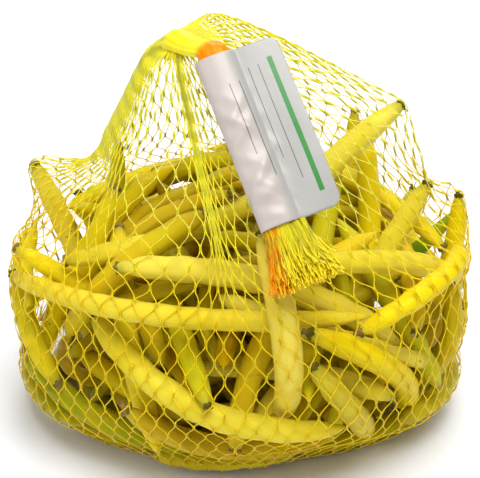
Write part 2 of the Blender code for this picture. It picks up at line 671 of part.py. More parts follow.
def make_net(points, radii):
    form = NetForm(points, radii)
    grid = clear_of_beans(strand_grid(form), points, radii)
    grid[0, :, 2] = FIRST_ROW_HEIGHT
    material = make_material("net", NET_YELLOW, 0.35)
    net = add_object("net_bag", net_tube(grid), material)
    extras = []
    base = bmesh.new()
    circle = [(math.cos(turn) * BASE_RADIUS, math.sin(turn) * BASE_RADIUS) for turn in turns(BASE_SIDES)]
    middle = grid[0].mean(0)
    loft(base, [[(middle[0] + x, middle[1] + y, z) for x, y in circle] for z in (0.0, BASE_THICK)])
    extras.append(add_object("base_weld", base, material))
    label_top = LABEL_TOP + label_lift(grid)
    line = tail_line(label_top)
    tail = bmesh.new()
    loft(tail, flat_rings(line, TAIL_WIDTHS, TAIL_HEIGHTS, TAIL_SIDES, LABEL_ACROSS))
    extras.append(add_object("tail", tail, material))
    extras += brush_blades(line[-1], material)
    join_all(net, extras, "MANIFOLD")
    return label_top


def brush_blades(root, material):
    """The cut ends of the strands, fanned out below the label."""
    rng = random.Random(SEED + 3)
    facing = np.cross(LABEL_ACROSS, LABEL_ALONG)
    blades = []
    for number in range(BRUSH_BLADES):
        share = (number + 0.5) / BRUSH_BLADES * 2 - 1
        level = (number % 3 - 1) * BRUSH_STEP
        spread = LABEL_ACROSS * (BRUSH_LEAN + BRUSH_FAN * share) + facing * rng.uniform(-0.06, 0.10)
        heading = unit(LABEL_ALONG + spread)
        foot = root + LABEL_ACROSS * TAIL_HALF_WIDE * 0.80 * share + facing * level * (1 - share * share)
        length = BRUSH_LENGTH * rng.uniform(0.75, 1.0)
        spine = foot + heading * np.array([-BRUSH_ROOT, length * 0.5, length])[:, None]
        spine[1] += facing * rng.uniform(-0.6, 0.8) * MM
        blade = bmesh.new()
        loft(blade, flat_rings(spine, BLADE_HALF_WIDTHS, BLADE_HALF_HEIGHTS, 4, LABEL_ACROSS))
        blades.append(add_object(f"blade_{number}", blade, material))
    return blades


def label_outline(inset):
    """Inner points of the sleeve round the tail, and the outer points with the flag beside it."""
    hole_wide, hole_thick = TAIL_HALF_WIDE + SLEEVE_ROOM, TAIL_HALF_THICK + SLEEVE_ROOM
    round_points = [(math.cos(turn), math.sin(turn)) for turn in turns(SLEEVE_SIDES)]
    inner = [(hole_wide * x, hole_thick * y) for x, y in round_points]
    outer = [((hole_wide + LABEL_WALL) * x, (hole_thick + LABEL_WALL) * y) for x, y in round_points[1:]]
    flag, half = LABEL_WIDTH - TAIL_INSET - inset, LABEL_WALL / 2
    return inner, outer + [(flag, -half), (flag, half)]


def make_label(label_top):
    top = label_top + LABEL_ACROSS * TAIL_INSET
    facing = unit(np.cross(LABEL_ALONG, LABEL_ACROSS))
    mesh = bmesh.new()
    loops = []
    for along, inset in LABEL_STATIONS:
        middle = top + LABEL_ALONG * LABEL_LENGTH * along
        loops.append([[mesh.verts.new(middle + LABEL_ACROSS * x + facing * y) for x, y in outline]
                      for outline in label_outline(inset * MM)])
    for low, high in zip(loops, loops[1:]):
        for part in (0, 1):
            count = len(low[part])
            for place in range(count):
                after = (place + 1) % count
                mesh.faces.new((low[part][place], low[part][after], high[part][after], high[part][place]))
    for inner, outer in (loops[0], loops[-1]):
        for place in range(1, SLEEVE_SIDES - 1):
            mesh.faces.new((inner[place], inner[place + 1], outer[place], outer[place - 1]))
        mesh.faces.new((inner[-1], inner[0], inner[1], outer[0], outer[-1], outer[-2], outer[-3]))
    add_object("label", mesh, make_material("label", LABEL_WHITE, 0.5))


def main():
    for item in list(bpy.data.objects):
        bpy.data.objects.remove(item)
    points, radii, heart_count = lay_beans()
    make_beans(points, radii, heart_count)
    label_top = make_net(points, radii)
    make_label(label_top)


main()
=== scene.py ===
# A net bag of yellow string beans: fine pods, a fine net, its neck and tail, and the label.
import math
import random

import bmesh
import bpy
import numpy as np
from mathutils.bvhtree import BVHTree
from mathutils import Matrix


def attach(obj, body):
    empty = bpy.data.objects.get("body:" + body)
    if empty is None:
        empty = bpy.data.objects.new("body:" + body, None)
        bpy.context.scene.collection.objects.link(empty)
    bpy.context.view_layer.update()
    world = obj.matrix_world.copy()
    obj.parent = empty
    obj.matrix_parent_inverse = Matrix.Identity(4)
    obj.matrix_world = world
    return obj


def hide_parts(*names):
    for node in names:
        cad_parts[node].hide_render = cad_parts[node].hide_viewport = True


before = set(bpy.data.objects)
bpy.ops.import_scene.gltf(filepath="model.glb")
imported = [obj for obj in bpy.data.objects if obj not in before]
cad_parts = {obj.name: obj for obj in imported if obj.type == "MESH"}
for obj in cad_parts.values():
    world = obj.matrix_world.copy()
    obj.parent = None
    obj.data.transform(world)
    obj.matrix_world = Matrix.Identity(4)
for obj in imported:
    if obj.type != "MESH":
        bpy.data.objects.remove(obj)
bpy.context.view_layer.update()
mm = 0.001
body = "root"            # the bag has no joints, so every piece rides on the one body


# Camera, floor and light
camera = {
    "elevation": 30.0,               # degrees above the surface
    "distance": 0.60,                # metres from the middle of the bag
    "lookAt": (0.0, 0.0, 0.078),
    "frameWidth": 0.1995,            # metres across the picture at the middle of the bag
    "sensor": 36.0,
}

studio = {
    "floorColour": (0.92, 0.93, 0.97),
    "floorHalf": 3.0,
    "worldColour": (1.0, 1.0, 1.0),
    "worldStrength": 0.31,
    "lamps": [                       # name, place, size and power
        ("keyLamp", (0.16, -0.34, 1.34), 0.9, 18.0),
        ("fillLamp", (-0.90, -0.75, 0.70), 0.9, 3.0),
        ("backLamp", (0.10, 0.90, 1.00), 0.8, 5.5),
    ],
}


def unit(vectors):
    vectors = np.asarray(vectors, float)
    return vectors / np.maximum(np.linalg.norm(vectors, axis=-1, keepdims=True), 1e-12)


def smooth(value):                   # eases 0 to 1 in and out
    value = np.clip(value, 0, 1)
    return value * value * (3 - 2 * value)


def newItem(name, data):
    item = bpy.data.objects.new(name, data)
    bpy.context.scene.collection.objects.link(item)
    return item


def aimAt(thing, target):
    back = np.array(thing.location) - np.array(target)
    flat = math.hypot(back[0], back[1])
    thing.rotation_euler = (math.pi / 2 - math.atan2(back[2], flat), 0, math.atan2(back[0], -back[1]))


def setCamera():
    data = bpy.data.cameras.new("camera")
    data.sensor_width = camera["sensor"]
    data.lens = camera["sensor"] * camera["distance"] / camera["frameWidth"]
    item = newItem("camera", data)
    tilt = math.radians(camera["elevation"])
    item.location = np.array(camera["lookAt"]) + camera["distance"] * np.array(
        [0, -math.cos(tilt), math.sin(tilt)])
    aimAt(item, camera["lookAt"])
    bpy.context.scene.camera = item


def addNode(tree, kind, sockets=None, **settings):
    node = tree.nodes.new(kind)
    for key, value in settings.items():
        setattr(node, key, value)
    for key, value in (sockets or {}).items():
        if isinstance(value, bpy.types.NodeSocket):
            tree.links.new(value, node.inputs[key])
        else:
            node.inputs[key].default_value = value
    return node


def calc(operation, *values, clamp=False):   # each socket knows the tree that it is in
    tree = next(value.id_data for value in values if isinstance(value, bpy.types.NodeSocket))
    sockets = dict(enumerate(values))
    return addNode(tree, "ShaderNodeMath", sockets, operation=operation, use_clamp=clamp).outputs[0]


def times(first, *more):
    for value in more:
        first = calc("MULTIPLY", first, value)
    return first


def plus(first, *more, clamp=False):
    for value in more:
        first = calc("ADD", first, value, clamp=clamp)
    return first


def ramp(value, low, high, toLow=0.0, toHigh=1.0):      # a smooth step from low to high
    return addNode(value.id_data, "ShaderNodeMapRange",
                   {"Value": value, "From Min": low, "From Max": high, "To Min": toLow, "To Max": toHigh},
                   interpolation_type="SMOOTHSTEP").outputs["Result"]


# Materials
def newMaterial(name, **fixed):
    material = bpy.data.materials.new(name)
    material.use_nodes = True
    shader = material.node_tree.nodes["Principled BSDF"]
    for key, value in fixed.items():
        shader.inputs[key.replace("_", " ")].default_value = value
    return material, material.node_tree


def readValue(tree, name):
    return addNode(tree, "ShaderNodeAttribute", attribute_name=name).outputs["Fac"]


def noise(tree, scale, detail, stretch=(1, 1, 1), offset=0.0):
    place = addNode(tree, "ShaderNodeTexCoord").outputs["Object"]
    place = addNode(tree, "ShaderNodeMapping",
                    {"Vector": place, "Scale": stretch, "Location": (offset, offset, offset)}).outputs[0]
    return addNode(tree, "ShaderNodeTexNoise",
                   {"Vector": place, "Scale": scale, "Detail": detail}).outputs["Fac"]


def mix(factor, first, second):              # of two colours
    return addNode(factor.id_data, "ShaderNodeMix", {0: factor, 6: first, 7: second},
                   data_type="RGBA").outputs[2]


def finishMaterial(material, height, strength, distance, **found):     # its fine relief and its colour
    tree = material.node_tree
    bump = addNode(tree, "ShaderNodeBump", {"Height": height, "Strength": strength, "Distance": distance})
    found["Normal"] = bump.outputs["Normal"]
    for key, value in found.items():
        tree.links.new(value, tree.nodes["Principled BSDF"].inputs[key.replace("_", " ")])
    return material


podColours = {
    # deep, the dark end of the pods' colour, also serves as painted shade for low and inner pods
    "deep": (0.44, 0.29, 0.001, 1),
    "bright": (0.84, 0.66, 0.004, 1),
    "amber": (0.84, 0.50, 0.002, 1),
    "pale": (0.86, 0.75, 0.12, 1),
    "green": (0.19, 0.34, 0.008, 1),
    "stem": (0.40, 0.36, 0.03, 1),
    "tip": (0.45, 0.38, 0.03, 1),
    "speck": (0.22, 0.13, 0.02, 1),
}


def podMaterial():
    material, tree = newMaterial(
        "podSkin", Roughness=0.36, Subsurface_Weight=0.12, Subsurface_Scale=0.003,
        Subsurface_Radius=(1.0, 0.8, 0.05), Specular_IOR_Level=0.36,
        Specular_Tint=(1.0, 0.82, 0.12, 1))
    along, around, tone, pale, green = [readValue(tree, name) for name in (
        "along", "around", "tone", "pale", "green")]
    cloud, fine = noise(tree, 38, 4), noise(tree, 240, 3, offset=3)
    # streaks that run along the pod, in other places on each
    skin = addNode(tree, "ShaderNodeCombineXYZ", {"X": calc("SINE", times(around, 2 * math.pi)),
                                                  "Y": times(along, 1.6),
                                                  "Z": times(tone, 30)}).outputs[0]
    streak = addNode(tree, "ShaderNodeTexNoise", {"Vector": skin, "Scale": 4.0, "Detail": 4.0}).outputs[0]
    # painted shade: tone, darker for pods low in the heap and in its depths, pulls the colour towards deep;
    # cloud and streaks vary it at random
    shade = plus(times(cloud, 0.45), times(tone, 0.62), times(streak, 0.35))
    ripe = ramp(calc("FRACT", times(tone, 13.7)), 0.45, 0.95)
    # greener where it is told to be, and along the seams
    seam = calc("SUBTRACT", calc("FRACT", times(around, 2.0)), 0.5)
    seam = ramp(calc("ABSOLUTE", seam), 0.44, 0.5)
    greener = times(green, ramp(noise(tree, 55, 3, offset=7), 0.32, 0.6, 0.5, 1.0))
    specks = ramp(noise(tree, 560, 2, offset=11), 0.66, 0.73)
    patches = ramp(noise(tree, 60, 2, offset=5), 0.48, 0.66)
    colour = mix(ramp(shade, 0.32, 1.05), podColours["deep"], podColours["bright"])
    for name, share in (
            ("amber", times(ripe, ramp(streak, 0.30, 0.70, 0.25, 0.75))),
            ("pale", times(pale, ramp(cloud, 0.30, 0.62, 0.45, 1.0))),
            ("green", plus(greener, times(seam, 0.16), clamp=True)),
            ("stem", times(ramp(along, 0.075, 0.0), ramp(fine, 0.25, 0.6, 0.45, 0.9))),
            ("tip", times(ramp(along, 0.955, 1.0), 0.75)),
            ("speck", times(specks, patches, 0.75))):
        colour = mix(share, colour, podColours[name])
    return finishMaterial(material, plus(times(noise(tree, 900, 2), 0.25), cloud), 0.35, 0.0006,
                          Base_Color=colour, Roughness=plus(0.30, times(fine, 0.22)))


def stemMaterial():
    material, tree = newMaterial("podStem", Roughness=0.7, Specular_IOR_Level=0.2,
                                 Specular_Tint=(1.0, 0.8, 0.4, 1))
    along = readValue(tree, "along")
    green = mix(noise(tree, 300, 3), (0.035, 0.035, 0.004, 1), (0.20, 0.16, 0.010, 1))
    brown = mix(noise(tree, 420, 3, offset=4), (0.10, 0.045, 0.010, 1), (0.58, 0.40, 0.13, 1))
    dry = ramp(plus(along, readValue(tree, "tone")), 0.25, 0.95)
    return finishMaterial(material, noise(tree, 1500, 3), 0.6, 0.0005, Base_Color=mix(dry, green, brown))


def netMaterial():
    material, tree = newMaterial(
        "netPlastic", Roughness=0.28, Subsurface_Weight=0.75, Subsurface_Scale=0.0012,
        Subsurface_Radius=(1.0, 0.85, 0.12), Specular_IOR_Level=0.40, Specular_Tint=(1.0, 0.8, 0.2, 1))
    place = addNode(tree, "ShaderNodeTexCoord").outputs["Object"]
    height = addNode(tree, "ShaderNodeSeparateXYZ", {0: place}).outputs["Z"]
    # painted light: strands low on the bag are a darker orange as painted shade, and those high up, in the
    # open tent, a paler lemon as painted backlight
    shadedLow = mix(noise(tree, 60, 3), (0.74, 0.45, 0.003, 1), (0.96, 0.65, 0.008, 1))
    clear = mix(noise(tree, 60, 3), (1.0, 0.76, 0.006, 1), (1.0, 0.92, 0.06, 1))
    # painted backlight: thin stretches between the joints, high up, are paler still
    thin = times(readValue(tree, "thin"), ramp(height, 0.085, 0.125, 0.0, 0.7))
    clear = mix(thin, clear, (1.0, 0.97, 0.36, 1))
    colour = mix(ramp(height, 0.080, 0.130), shadedLow, clear)
    colour = mix(readValue(tree, "orange"), colour, (0.98, 0.27, 0.002, 1))
    return finishMaterial(material, noise(tree, 800, 2, (1, 1, 0.2)), 0.3, 0.0003, Base_Color=colour)


# Trees for what is swept along lines
def newTree(name, **inputs):
    tree = bpy.data.node_groups.new(name, "GeometryNodeTree")
    sockets = tree.interface
    for direction in ("INPUT", "OUTPUT"):
        sockets.new_socket("Geometry", in_out=direction, socket_type="NodeSocketGeometry")
    kinds = {float: "NodeSocketFloat", int: "NodeSocketInt"}
    for key, value in inputs.items():
        kind = kinds.get(type(value), "NodeSocketMaterial")
        sockets.new_socket(key, in_out="INPUT", socket_type=kind).default_value = value
    return tree, tree.nodes.new("NodeGroupInput").outputs


def finishTree(tree, given, geometry):
    geometry = addNode(tree, "GeometryNodeSetShadeSmooth", {"Geometry": geometry}).outputs[0]
    geometry = addNode(tree, "GeometryNodeRealizeInstances", {"Geometry": geometry}).outputs[0]
    geometry = addNode(tree, "GeometryNodeSetMaterial",
                       {"Geometry": geometry, "Material": given["material"]}).outputs[0]
    addNode(tree, "NodeGroupOutput", {0: geometry})
    return tree


def readName(tree, name):
    return addNode(tree, "GeometryNodeInputNamedAttribute", {"Name": name}, data_type="FLOAT").outputs[0]


def storeName(tree, geometry, name, value):
    return addNode(tree, "GeometryNodeStoreNamedAttribute", {"Geometry": geometry, "Name": name,
                   "Value": value}, data_type="FLOAT", domain="POINT").outputs[0]


def sweepNodes(tree, given, oval=None):      # a round bar along every line, as thick as its girth
    lines = addNode(tree, "GeometryNodeMeshToCurve", {"Mesh": given["Geometry"]}).outputs[0]
    ring = addNode(tree, "GeometryNodeCurvePrimitiveCircle",
                   {"Resolution": given["sides"], "Radius": 1.0}).outputs[0]
    turn = addNode(tree, "GeometryNodeSplineParameter").outputs["Factor"]
    ring = storeName(tree, ring, "around", turn)
    if oval is not None:
        squeeze = addNode(tree, "ShaderNodeCombineXYZ", {"X": 1.0, "Y": oval, "Z": 1.0}).outputs[0]
        place = addNode(tree, "GeometryNodeInputPosition").outputs[0]
        place = addNode(tree, "ShaderNodeVectorMath", {0: place, 1: squeeze},
                        operation="MULTIPLY").outputs[0]
        ring = addNode(tree, "GeometryNodeSetPosition", {"Geometry": ring, "Position": place}).outputs[0]
    return addNode(tree, "GeometryNodeCurveToMesh",
                   {"Curve": lines, "Profile Curve": ring, "Scale": readName(tree, "girth"),
                    "Fill Caps": True}).outputs[0]


def push(tree, geometry, distance):          # moves the skin out along its normal
    normal = addNode(tree, "GeometryNodeInputNormal").outputs[0]
    offset = addNode(tree, "ShaderNodeVectorMath", {0: normal, "Scale": distance},
                     operation="SCALE").outputs[0]
    return addNode(tree, "GeometryNodeSetPosition", {"Geometry": geometry, "Offset": offset}).outputs[0]


def treeNoise(tree, scale, seed):
    node = addNode(tree, "ShaderNodeTexNoise", {"Scale": scale, "Detail": 2.0, "W": seed},
                   noise_dimensions="4D")
    return calc("SUBTRACT", node.outputs["Fac"], 0.5)


def podTree():
    tree, given = newTree("podTree", sides=24, oval=0.90, seedSpacing=0.0125, seedSwell=0.00028,
                          seamHeight=0.00022, dents=0.0011, seed=0.0, tone=0.5, pale=0.0, green=0.0,
                          material=None)
    skin = sweepNodes(tree, given, given["oval"])
    around, run, thick = readName(tree, "around"), readName(tree, "run"), readName(tree, "thick")
    # seeds swell the two flat sides, the seams stand a little proud between them
    turn = times(around, 2 * math.pi)
    flank = calc("ABSOLUTE", calc("SINE", turn))
    beat = times(calc("DIVIDE", run, given["seedSpacing"]), 2 * math.pi)
    wobble = treeNoise(tree, 45.0, given["seed"])
    beat = plus(beat, times(given["seed"], 1.7), times(wobble, 5.0))
    swell = times(calc("SINE", beat), given["seedSwell"], flank)
    edge = calc("POWER", calc("ABSOLUTE", calc("COSINE", turn)), 24.0)
    ridge = times(edge, given["seamHeight"])
    dent = times(treeNoise(tree, 30.0, given["seed"]), given["dents"])
    skin = push(tree, skin, times(plus(swell, ridge, dent), thick))
    # tone carries each pod's random tone together with its painted shade by height
    for name in ("tone", "pale", "green"):
        own = plus(given[name], readName(tree, name + "Own"), clamp=True)
        skin = storeName(tree, skin, name, own)
    return finishTree(tree, given, skin)


def strandTree():
    tree, given = newTree("strandTree", sides=5, roughness=0.00008, material=None)
    skin = sweepNodes(tree, given)
    skin = push(tree, skin, times(treeNoise(tree, 260.0, 1.0), given["roughness"]))
    return finishTree(tree, given, skin)


def setValues(mesh, values):                 # named values at its points, for the trees and materials
    for key, value in values.items():
        attribute = mesh.attributes.new(key, "FLOAT", "POINT")
        attribute.data.foreach_set("value", np.asarray(value, np.float32))


def lineMesh(name, lines, **values):         # one polyline for each line, with named values at its points
    mesh = bpy.data.meshes.new(name)
    points = np.concatenate(lines)
    edges = []
    start = 0
    for line in lines:
        edges += [(start + number, start + number + 1) for number in range(len(line) - 1)]
        start += len(line)
    mesh.from_pydata(points.tolist(), edges, [])
    setValues(mesh, {key: np.concatenate(value) for key, value in values.items()})
    return newItem(name, mesh)


def addTree(item, tree, **values):
    modifier = item.modifiers.new("shape", "NODES")
    modifier.node_group = tree
    for socket in tree.interface.items_tree:
        if socket.in_out == "INPUT" and socket.name in values:
            modifier[socket.identifier] = values[socket.name]


def makePlain(items):                        # every tree's result becomes its piece's own mesh
    bpy.context.view_layer.update()
    depsgraph = bpy.context.evaluated_depsgraph_get()
    made = [bpy.data.meshes.new_from_object(item.evaluated_get(depsgraph)) for item in items]
    for item, mesh in zip(items, made):
        item.modifiers.clear()
        old = item.data
        item.data = mesh
        bpy.data.meshes.remove(old)
        mesh.name = item.name


def meshPiece(name, points, faces, material, values=None):
    mesh = bpy.data.meshes.new(name)
    mesh.from_pydata(np.asarray(points).tolist(), [], faces)
    setValues(mesh, values or {})
    mesh.materials.append(material)
    mesh.shade_smooth()
    return newItem(name, mesh)


def ringFaces(first, rings, sides):          # the skin of a bar made of rings of points, with both ends
    faces = []
    for step in range(rings - 1):
        low, high = first + step * sides, first + (step + 1) * sides
        for corner in range(sides):
            after = (corner + 1) % sides
            faces.append((low + corner, low + after, high + after, high + corner))
    last = first + (rings - 1) * sides
    return faces + [list(range(first, first + sides))[::-1], list(range(last, last + sides))]


def turnOut(item):
    mesh = bmesh.new()
    mesh.from_mesh(item.data)
    bmesh.ops.recalc_face_normals(mesh, faces=mesh.faces)
    mesh.to_mesh(item.data)
    mesh.free()


def asNet(item):                             # what all pieces of the net are
    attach(item, body)
    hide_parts("net_bag")


# The pods
pods = {
    "stations": 44,                  # rings along a pod
    "sides": 22,
    "fillSides": 14,                 # round a pod of the heap's middle and foot
    # girth along the pod, as shares of its length and of its thickness
    "profile": ((0.0, 0.40), (0.02, 0.55), (0.05, 0.72), (0.12, 0.90), (0.30, 1.0), (0.56, 1.0),
                (0.76, 0.96), (0.88, 0.80), (0.94, 0.60), (0.98, 0.32), (1.0, 0.14)),
    "endRound": 1.3 * mm,            # over which either end is rounded off
    "beak": 3.0 * mm,                # the fine point past the last ring
    # greener ones and paler ones, by number
    "green": {5: 0.25, 12: 0.2, 16: 0.6, 18: 0.4, 24: 0.45, 28: 0.35, 32: 0.4, 34: 1.0, 36: 0.35,
              37: 0.15, 14: 0.12, 10: 0.25, 31: 0.3, 44: 0.35, 49: 0.3, 53: 0.4},
    "pale": {2: 0.75, 4: 0.6, 1: 0.35, 21: 0.8, 30: 0.7, 27: 0.45, 14: 0.4, 39: 0.5, 37: 0.4, 26: 0.4,
             3: 0.35, 7: 0.5, 43: 0.5, 50: 0.6},
    "cutPod": 21,                    # this one is a cut piece, blunt at its tip
    "dim": 14 * mm,                  # height below which the pods get the darkest painted shade, and above which they get none and are brightest
    "lit": 60 * mm,                  # and above which they are brightest
}


def runAlong(line):                          # how far along the line each of its points is
    return np.concatenate([[0], np.cumsum(np.linalg.norm(np.diff(line, axis=0), axis=1))])


def pointsAt(line, share):                   # the line's points at these shares of its length
    run = runAlong(line)
    return np.stack([np.interp(share * run[-1], run, line[:, axis]) for axis in range(3)], 1)


def curveThrough(points, count):             # a smooth line through a few points, evenly spaced
    points = np.asarray(points, float)
    padded = np.vstack([2 * points[0] - points[1], points, 2 * points[-1] - points[-2]])
    dense = []
    for number in range(len(points) - 1):
        a, b, c, d = padded[number:number + 4]
        t = np.linspace(0, 1, 24, endpoint=number == len(points) - 2)[:, None]
        dense.append(0.5 * (2 * b + (c - a) * t + (2 * a - 5 * b + 4 * c - d) * t ** 2
                            + (3 * b - a - 3 * c + d) * t ** 3))
    return pointsAt(np.concatenate(dense), np.linspace(0, 1, count))


def ringsOf(node):                           # a CAD pod's ring centres and girths, stem end first
    mesh = bmesh.new()
    mesh.from_mesh(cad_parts[node].data)
    bmesh.ops.remove_doubles(mesh, verts=mesh.verts, dist=1e-6)
    for start in mesh.verts:
        rings, seen = [[start]], {start}
        while rings[-1]:
            found = []
            for vert in rings[-1]:
                for edge in vert.link_edges:
                    other = edge.other_vert(vert)
                    if other not in seen:
                        seen.add(other)
                        found.append(other)
            rings.append(found)
        sizes = [len(ring) for ring in rings[:-1]]
        if sizes[0] == 1 and sizes[-1] == 1 and len(set(sizes[1:-1])) == 1 and len(sizes) > 5:
            break
    places = [np.array([vert.co[:] for vert in ring]) for ring in rings[1:-2]]
    mesh.free()
    centres = np.array([place.mean(0) for place in places])
    girths = np.array([np.linalg.norm(place - place.mean(0), axis=1).mean() for place in places])
    if girths[0] < girths[-1]:
        centres, girths = centres[::-1], girths[::-1]
    return centres, girths.max()


def podLine(centres, girth, blunt=False):    # the fine line of a pod, with the values of its points
    line = curveThrough(centres, pods["stations"])
    tip, stem = unit(line[-1] - line[-2]), unit(line[0] - line[1])
    shares, widths = np.array(pods["profile"]).T
    size = np.interp(np.linspace(0, 1, len(line)), shares, widths)
    if blunt:
        size[-8:] = np.maximum(size[-8:], 0.86)
    endRound, beak = pods["endRound"], pods["beak"]
    early = [line[0] + stem * endRound * share for share in (1.0, 0.9, 0.55)]
    earlySize = [size[0] * share for share in (0.12, 0.5, 0.86)]
    lateEnd = endRound if blunt else beak
    late = [line[-1] + tip * lateEnd * share for share in (0.5, 0.85, 1.0)]
    lateSize = [size[-1] * share for share in ((0.97, 0.93, 0.86) if blunt else (0.62, 0.36, 0.12))]
    line = np.vstack([early, line, late])
    size = np.concatenate([earlySize, size, lateSize])
    run = runAlong(line)
    along = run / run[-1]
    thick = smooth(along / 0.06) * smooth((1 - along) / 0.05)
    return line, {"girth": size * girth, "run": run, "along": along, "thick": thick}


def makePods(tree, material):
    rng = random.Random(4)
    made, lines = [], {}
    for node in sorted(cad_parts):
        if not node.startswith("bean_"):
            continue
        number = int(node[5:])
        centres, girth = ringsOf(node)
        line, values = podLine(centres, girth, number == pods["cutPod"])
        lines[number] = (line, values["girth"])
        item = lineMesh(f"pod{number:02d}", [line], **{key: [value] for key, value in values.items()})
        # painted shade: lower pods get a darker tone, 0.7 of it from their height and 0.3 at random
        height = float(smooth((line[:, 2].mean() - pods["dim"]) / (pods["lit"] - pods["dim"])))
        addTree(item, tree, sides=pods["sides"], seed=float(number), oval=rng.uniform(0.84, 0.97),
                tone=0.7 * height + 0.3 * rng.random(), pale=pods["pale"].get(number, rng.uniform(0, 0.15)),
                green=pods["green"].get(number, rng.uniform(0, 0.08)),
                dents=rng.uniform(0.0006, 0.0014), seedSwell=rng.uniform(0.0001, 0.0004),
                material=material)
        made.append((item, node))
    makePlain([item for item, node in made])
    for item, node in made:
        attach(item, body)
        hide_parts(node)
    return lines


# The middle of the heap, and its foot: the crossed layers, two rows round the foot, and more pods in
# what room is left
heap = {
    "layers": ((19, 25, 3), (27, 112, 3), (35, 28, 4), (43, 118, 3)),     # height, heading, pods (mm)
    "spacing": 18 * mm,
    "length": 92 * mm,
    "taper": 0.13,
    "thick": 10.2 * mm,
    # height, half width, half depth in front and behind (mm), from and to (degrees), pods
    "footRows": ((6.6, 83, 50, 66, -84, 276, 5), (17.5, 91, 68, 74, -46, 228, 4)),
    "footThick": (8.6, 10.4),        # mm
    "half": np.array([86.0, 77.0, 50.0]) * mm,       # room for the added pods, in the heap
    "footHalf": np.array([82.0, 60.0]) * mm,         # and in its foot
    "footHigh": 27 * mm,
    "footShare": 0.5,                # of the tries
    "middle": np.array([0.0, 0.0, 54.0]) * mm,
    "tries": 22000,
    "addedThick": (6.8, 10.0),       # mm
    "lowest": 5.5 * mm,
    "overlap": 3.2 * mm,             # how far an added pod may sink into its neighbours
}


def footLines():                             # pods that lie along the edge of the foot
    rng = random.Random(31)
    lines = []
    for height, wide, front, behind, first, last, count in heap["footRows"]:
        sector = math.radians(last - first) / count
        for place in range(count):
            t = np.linspace(-1, 1, 9)
            centre = math.radians(first) + sector * (place + 0.5 + rng.uniform(-0.06, 0.06))
            angle = centre + sector / 2 * rng.uniform(0.80, 0.94) * t
            inward = 1 - rng.uniform(0.0, 0.05) * (t * rng.choice((-1, 1)) * 0.5 + 0.5)
            deep = np.where(np.sin(angle) < 0, front, behind)
            climb = rng.uniform(0, 3.5) * (0.5 + 0.5 * t * rng.choice((-1, 1)))
            line = np.stack([wide * np.cos(angle) * inward, deep * np.sin(angle) * inward,
                             height + climb], 1)
            girth = rng.uniform(*heap["footThick"]) / 2
            lines.append((line[::rng.choice((-1, 1))] * mm, girth * mm))
    return lines


def tryPod(rng):                             # one pod at random: in the heap, or along its foot
    t = np.linspace(0, 1, 9)[:, None]
    if rng.random() < heap["footShare"]:
        turn = rng.uniform(0, 2 * math.pi)
        spot = np.append(heap["footHalf"] * (math.cos(turn), math.sin(turn)) * rng.uniform(0.5, 0.98),
                         rng.uniform(8, 24) * mm)
        turn += rng.normal() * 0.35
        heading = unit([-math.sin(turn), math.cos(turn), rng.normal() * 0.12])
        half = rng.uniform(20, 44) * mm
        bow = np.array([math.cos(turn), math.sin(turn), 0.0]) * half * rng.uniform(0.1, 0.35)
    else:
        spot = heap["middle"] + heap["half"] * rng.uniform(-1, 1, 3)
        heading = unit(rng.normal(size=3) * (1, 1, 0.4))
        half = rng.uniform(26, 56) * mm
        bow = np.cross(heading, unit(rng.normal(size=3))) * rng.uniform(2, 12) * mm
    return spot + heading * half * (2 * t - 1) + bow * (4 * t * (1 - t) - 0.5)


def fitPods(lines):                          # keeps the tried pods that fit between the others
    rng = np.random.default_rng(7)
    taken = np.concatenate([line[::2] for line, girth in lines])
    takenGirth = np.concatenate([girth[::2] for line, girth in lines])
    kept = []
    for attempt in range(heap["tries"]):
        line = tryPod(rng)
        thick = rng.uniform(*heap["addedThick"]) * mm
        away = np.linalg.norm((line - heap["middle"]) / heap["half"], axis=1)
        low = np.linalg.norm(line[:, :2] / heap["footHalf"], axis=1)
        inHeap = (away < 1) | ((low < 1) & (line[:, 2] < heap["footHigh"]))
        if not inHeap.all() or line[:, 2].min() < heap["lowest"]:
            continue
        gap = np.linalg.norm(taken[:, None] - line[None], axis=2) - takenGirth[:, None] - thick / 2
        if gap.min() > -heap["overlap"]:
            kept.append((line, thick / 2))
            taken = np.vstack([taken, line])
            takenGirth = np.concatenate([takenGirth, np.full(len(line), thick / 2)])
    return kept


def heartLines():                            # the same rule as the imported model's heart
    rng = random.Random(9)
    lines = []
    for height, heading, count in heap["layers"]:
        angle = math.radians(heading)
        along = np.array([math.cos(angle), math.sin(angle), 0.0])
        across = np.array([-along[1], along[0], 0.0])
        for place in range(count):
            offset = (place - (count - 1) / 2) * heap["spacing"]
            middle = across * offset + np.array([0, 0, height * mm])
            half = heap["length"] / 2 * (1 - heap["taper"] * abs(offset) / heap["spacing"])
            slip = along * rng.uniform(-5, 5) * mm
            turned = rng.random() < 0.5
            bow = across * rng.uniform(-4, 4) * mm
            t = np.linspace(0, 1, 8)[:, None]
            line = middle + slip + along * half * (2 * t - 1) + bow * 4 * t * (1 - t)
            lines.append((line[::-1] if turned else line, heap["thick"] / 2))
    return lines


def makeFill(name, tree, material, lines, green=0.05):      # many pods in one piece
    rng = random.Random(name)
    fine, values = [], []
    for centres, girth in lines:
        line, given = podLine(centres, girth)
        for key, most in (("toneOwn", 0.35), ("paleOwn", 0.15), ("greenOwn", 0.35)):
            given[key] = np.full(len(line), rng.random() ** 2 * most)
        fine.append(line)
        values.append(given)
    item = lineMesh(name, fine, **{key: [given[key] for given in values] for key in values[0]})
    # the fill pods' low base tone is painted shade for the heap's depths and foot; toneOwn adds their
    # random tone
    addTree(item, tree, sides=pods["fillSides"], seed=3.0, tone=0.12, pale=0.0, green=green,
            material=material)
    makePlain([item])
    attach(item, body)
    return item, [(line, given["girth"]) for line, given in zip(fine, values)]


